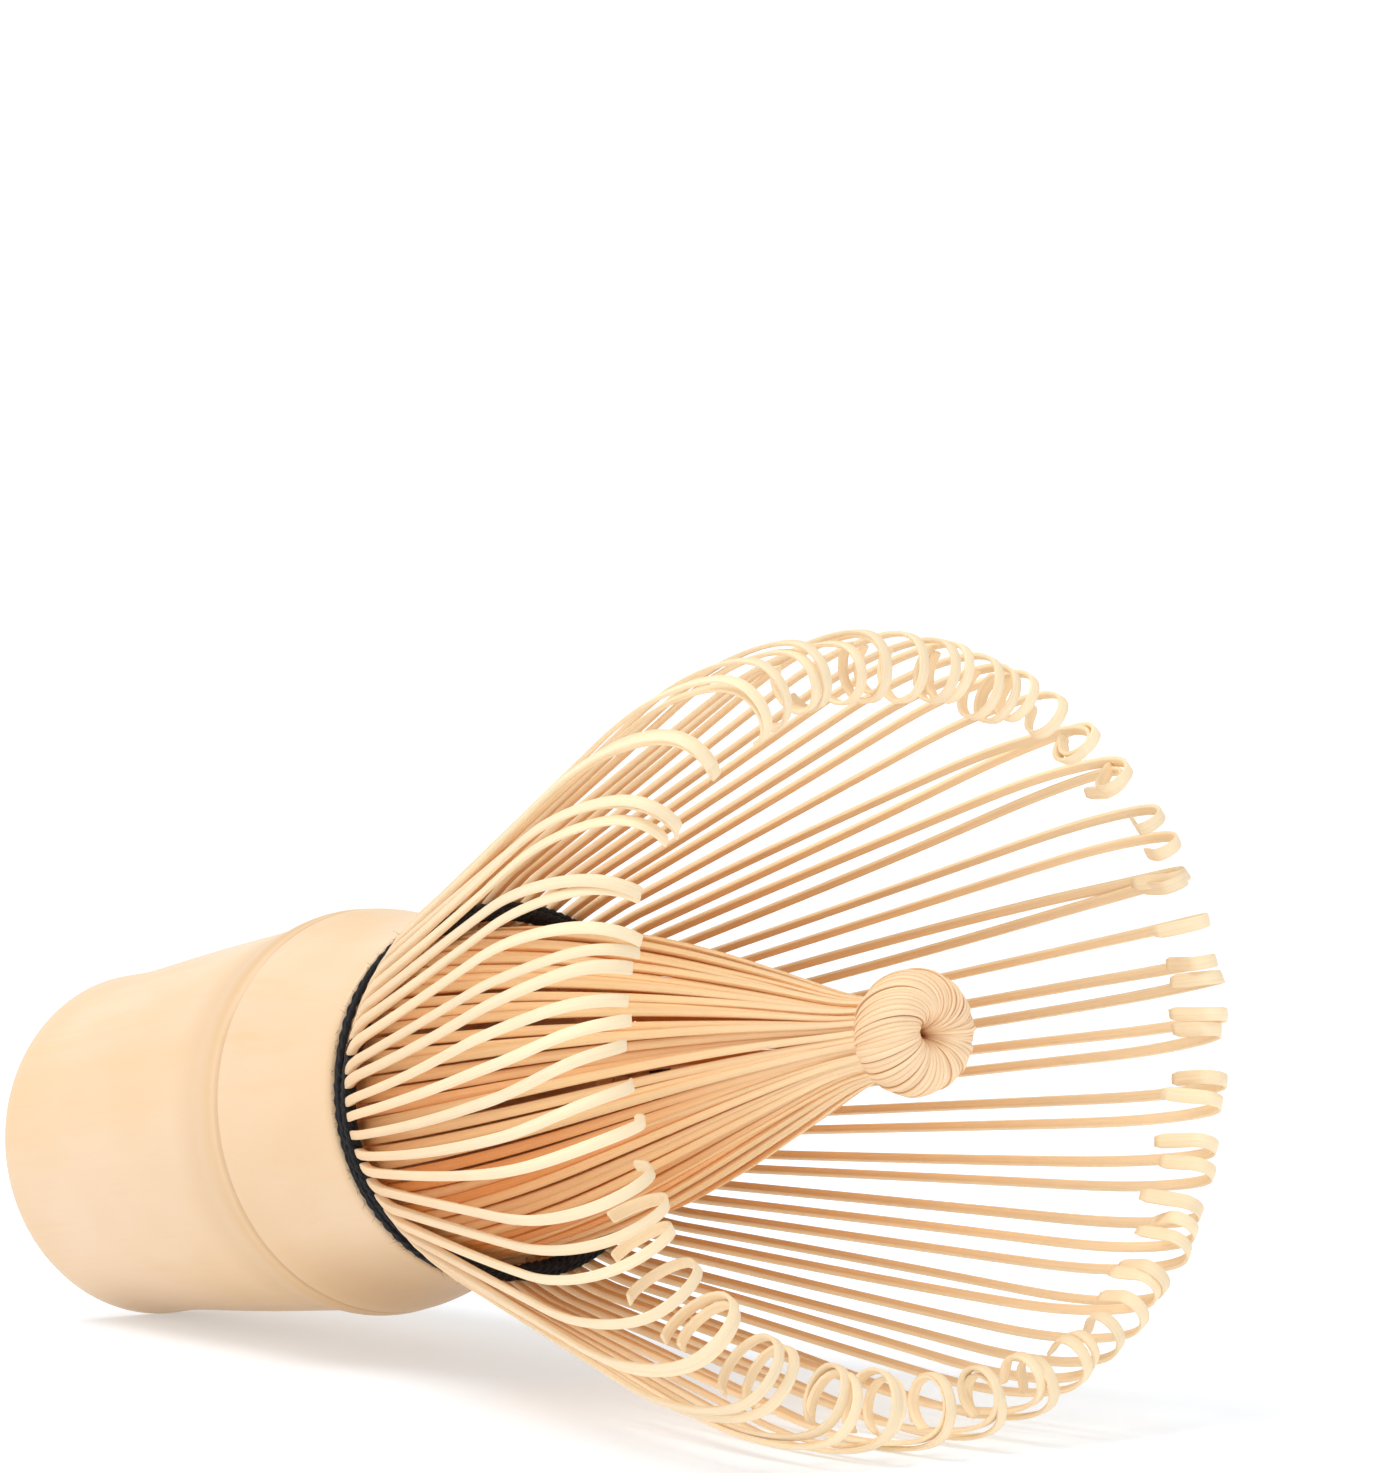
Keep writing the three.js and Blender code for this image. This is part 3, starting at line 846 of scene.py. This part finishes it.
def make_threads(material):
    draw = random.Random(THREAD_SEED)
    outer = Surface()
    turns = wound_path(1.98, ROOT_Z + 0.05, outer_thread_radius, draw, tuck=0.04)
    add_yarn(outer, turns, OUTER_YARN_RADIUS, lay=2.2, phase=0.0, identity=1.0)
    add_fuzz(outer, draw, count=420, radius_at=lambda height: outer_thread_radius(height) + 0.25,
             height_range=(52.8, 54.5), reach=0.55)
    outer.piece("thread_outside", [material], ["outer_thread"])
    inner = Surface()
    under = wound_path(2.98, 56.1, inner_thread_radius, draw, slip=THREAD_SLIP)
    over = wound_path(1.98, 56.4, above_inner_thread, draw, slip=THREAD_SLIP)
    add_yarn(inner, under, INNER_YARN_RADIUS, lay=1.5, phase=1.0, identity=5.0)
    add_yarn(inner, over, INNER_YARN_RADIUS, lay=1.5, phase=2.0, identity=9.0)
    add_fuzz(inner, draw, count=160, radius_at=above_inner_thread, height_range=(56.0, 58.2), reach=0.6)
    inner.piece("thread_inside", [material], ["inner_thread"])


# ---- Stage, light and camera ----

FLOOR_RADIUS = 6.0
FLOOR_GLOW = 0.33
# The studio's wall shines at WALL_GLOW up to WALL_TOP, and its ceiling at CEILING_GLOW from CEILING_START on.
# Both heights are those of a direction of length 1.
WALL_TOP = 0.15
CEILING_START = 0.6
WALL_GLOW = 1.1
CEILING_GLOW = 0.62


def make_floor():
    """A white floor. It glows a little, as an overexposed one does, which lightens its shadows."""
    mesh = bpy.data.meshes.new("floor")
    corner = np.linspace(0, 2 * math.pi, 96, endpoint=False)
    rim = [(FLOOR_RADIUS * math.cos(a), FLOOR_RADIUS * math.sin(a), 0.0) for a in corner]
    mesh.from_pydata(rim, [], [tuple(range(len(rim)))])
    m = Nodes("pale_floor")
    mottle = m.noise(m.add("ShaderNodeTexCoord").outputs["Object"], 30.0, 2.0)
    colour = m.blend(mottle, (0.73, 0.77, 0.82, 1), (0.75, 0.79, 0.84, 1))
    glow = {"Emission_Color": (0.96, 1.0, 1.04, 1.0), "Emission_Strength": FLOOR_GLOW}
    mesh.materials.append(m.finish(colour, 0.85, Specular_IOR_Level=0.15, **glow))
    floor = bpy.data.objects.new("floor", mesh)
    bpy.context.scene.collection.objects.link(floor)


def make_sun(name, direction, softness, strength, colour):
    """A distant light that comes from direction. softness is how wide it looks, in degrees."""
    light = bpy.data.lights.new(name, "SUN")
    light.angle = math.radians(softness)
    light.energy = strength
    light.color = colour
    lamp = bpy.data.objects.new(name, light)
    lamp.rotation_euler = Vector(direction).to_track_quat("Z", "Y").to_euler()
    bpy.context.scene.collection.objects.link(lamp)


def make_world():
    """A white studio: a bright wall all round, and a dimmer ceiling."""
    world = bpy.data.worlds.new("studio")
    world.use_nodes = True
    tree = world.node_tree
    direction = tree.nodes.new("ShaderNodeTexCoord").outputs["Generated"]
    split = tree.nodes.new("ShaderNodeSeparateXYZ")
    tree.links.new(direction, split.inputs[0])
    height = tree.nodes.new("ShaderNodeMapRange")
    height.interpolation_type = "SMOOTHSTEP"
    for socket, value in zip(height.inputs[1:5], (WALL_TOP, CEILING_START, WALL_GLOW, CEILING_GLOW)):
        socket.default_value = value
    tree.links.new(split.outputs["Z"], height.inputs[0])
    background = tree.nodes["Background"]
    background.inputs["Color"].default_value = (1.0, 1.0, 1.0, 1)
    tree.links.new(height.outputs[0], background.inputs["Strength"])
    bpy.context.scene.world = world


def make_light():
    make_world()
    scene = bpy.context.scene
    scene.view_settings.view_transform = "Standard"
    scene.view_settings.look = "None"
    right, up, back = camera_axes()
    above_left = up * 0.9 - right * 0.36 + back * 0.2
    make_sun("key_light", above_left, softness=34, strength=1.5, colour=(1.0, 0.995, 0.985))
    near_left = up * 0.45 - right * 0.4 + back * 0.8
    make_sun("fill_light", near_left, softness=50, strength=0.14, colour=(1.0, 1.0, 1.0))


CAMERA_AZIMUTH = math.radians(53.7)
CAMERA_ELEVATION = math.radians(1.4)
# The lens's focal length and the sensor's width, which spans the picture's longer side, in millimetres.
LENS = 146.64
SENSOR = 36.0
# Where the handle's end lies as the camera sees it, in millimetres: sideways, upwards and away. It is left of
# the picture's middle and below it.
END_FROM_CAMERA = (-47.36, -35.54, 523.6)


def camera_axes():
    """The camera's right, up and backward directions."""
    a, e = CAMERA_AZIMUTH, CAMERA_ELEVATION
    right = np.array([math.cos(a), math.sin(a), 0.0])
    back = np.array([math.sin(a) * math.cos(e), -math.cos(a) * math.cos(e), math.sin(e)])
    return right, np.cross(back, right), back


def make_camera():
    right, up, back = camera_axes()
    sideways, upwards, away = END_FROM_CAMERA
    data = bpy.data.cameras.new("camera")
    data.lens = LENS
    data.sensor_width = SENSOR
    data.clip_start = 0.01
    data.clip_end = 50
    camera = bpy.data.objects.new("camera", data)
    camera.location = BASE - MM * (sideways * right + upwards * up - away * back)
    camera.rotation_euler = Vector(-back).to_track_quat("-Z", "Y").to_euler()
    bpy.context.scene.collection.objects.link(camera)
    bpy.context.scene.camera = camera


# Painted shade: the warm dark colour given to wood that lies deep between its neighbours.
PAINTED_DEEP_SHADE = rgb(214, 126, 50)

make_camera()
make_handle()
# The outer tines' inner face is partly its own colour and partly painted shade towards the root; their
# lighter edge colour is a painted highlight.
make_outer_tines(split_bamboo(
    "outer_tine_bamboo", root=rgb(238, 200, 156), middle=rgb(244, 214, 173), tip=rgb(249, 225, 187),
    inside=rgb(228, 176, 120), edge=rgb(251, 228, 191)))
# The inner tines' darker root colour is a painted shadow of the outer tines over the bundle's root; the
# inside colour is painted shade and the glow painted light.
make_inner_tines(split_bamboo(
    "inner_tine_bamboo", root=rgb(241, 190, 132), middle=rgb(252, 214, 160), tip=rgb(252, 221, 178),
    inside=PAINTED_DEEP_SHADE, edge=rgb(240, 188, 130), glow=0.1))
# The knot's dark root colour and its inside colour are painted shade in the pit, and its darker edge colour
# darkens the strands' sides.
make_knot(split_bamboo(
    "knot_bamboo", root=rgb(170, 110, 58), middle=rgb(248, 210, 166), tip=rgb(251, 219, 180),
    inside=PAINTED_DEEP_SHADE, edge=rgb(212, 156, 102)))
make_threads(black_yarn())
make_floor()
make_light()
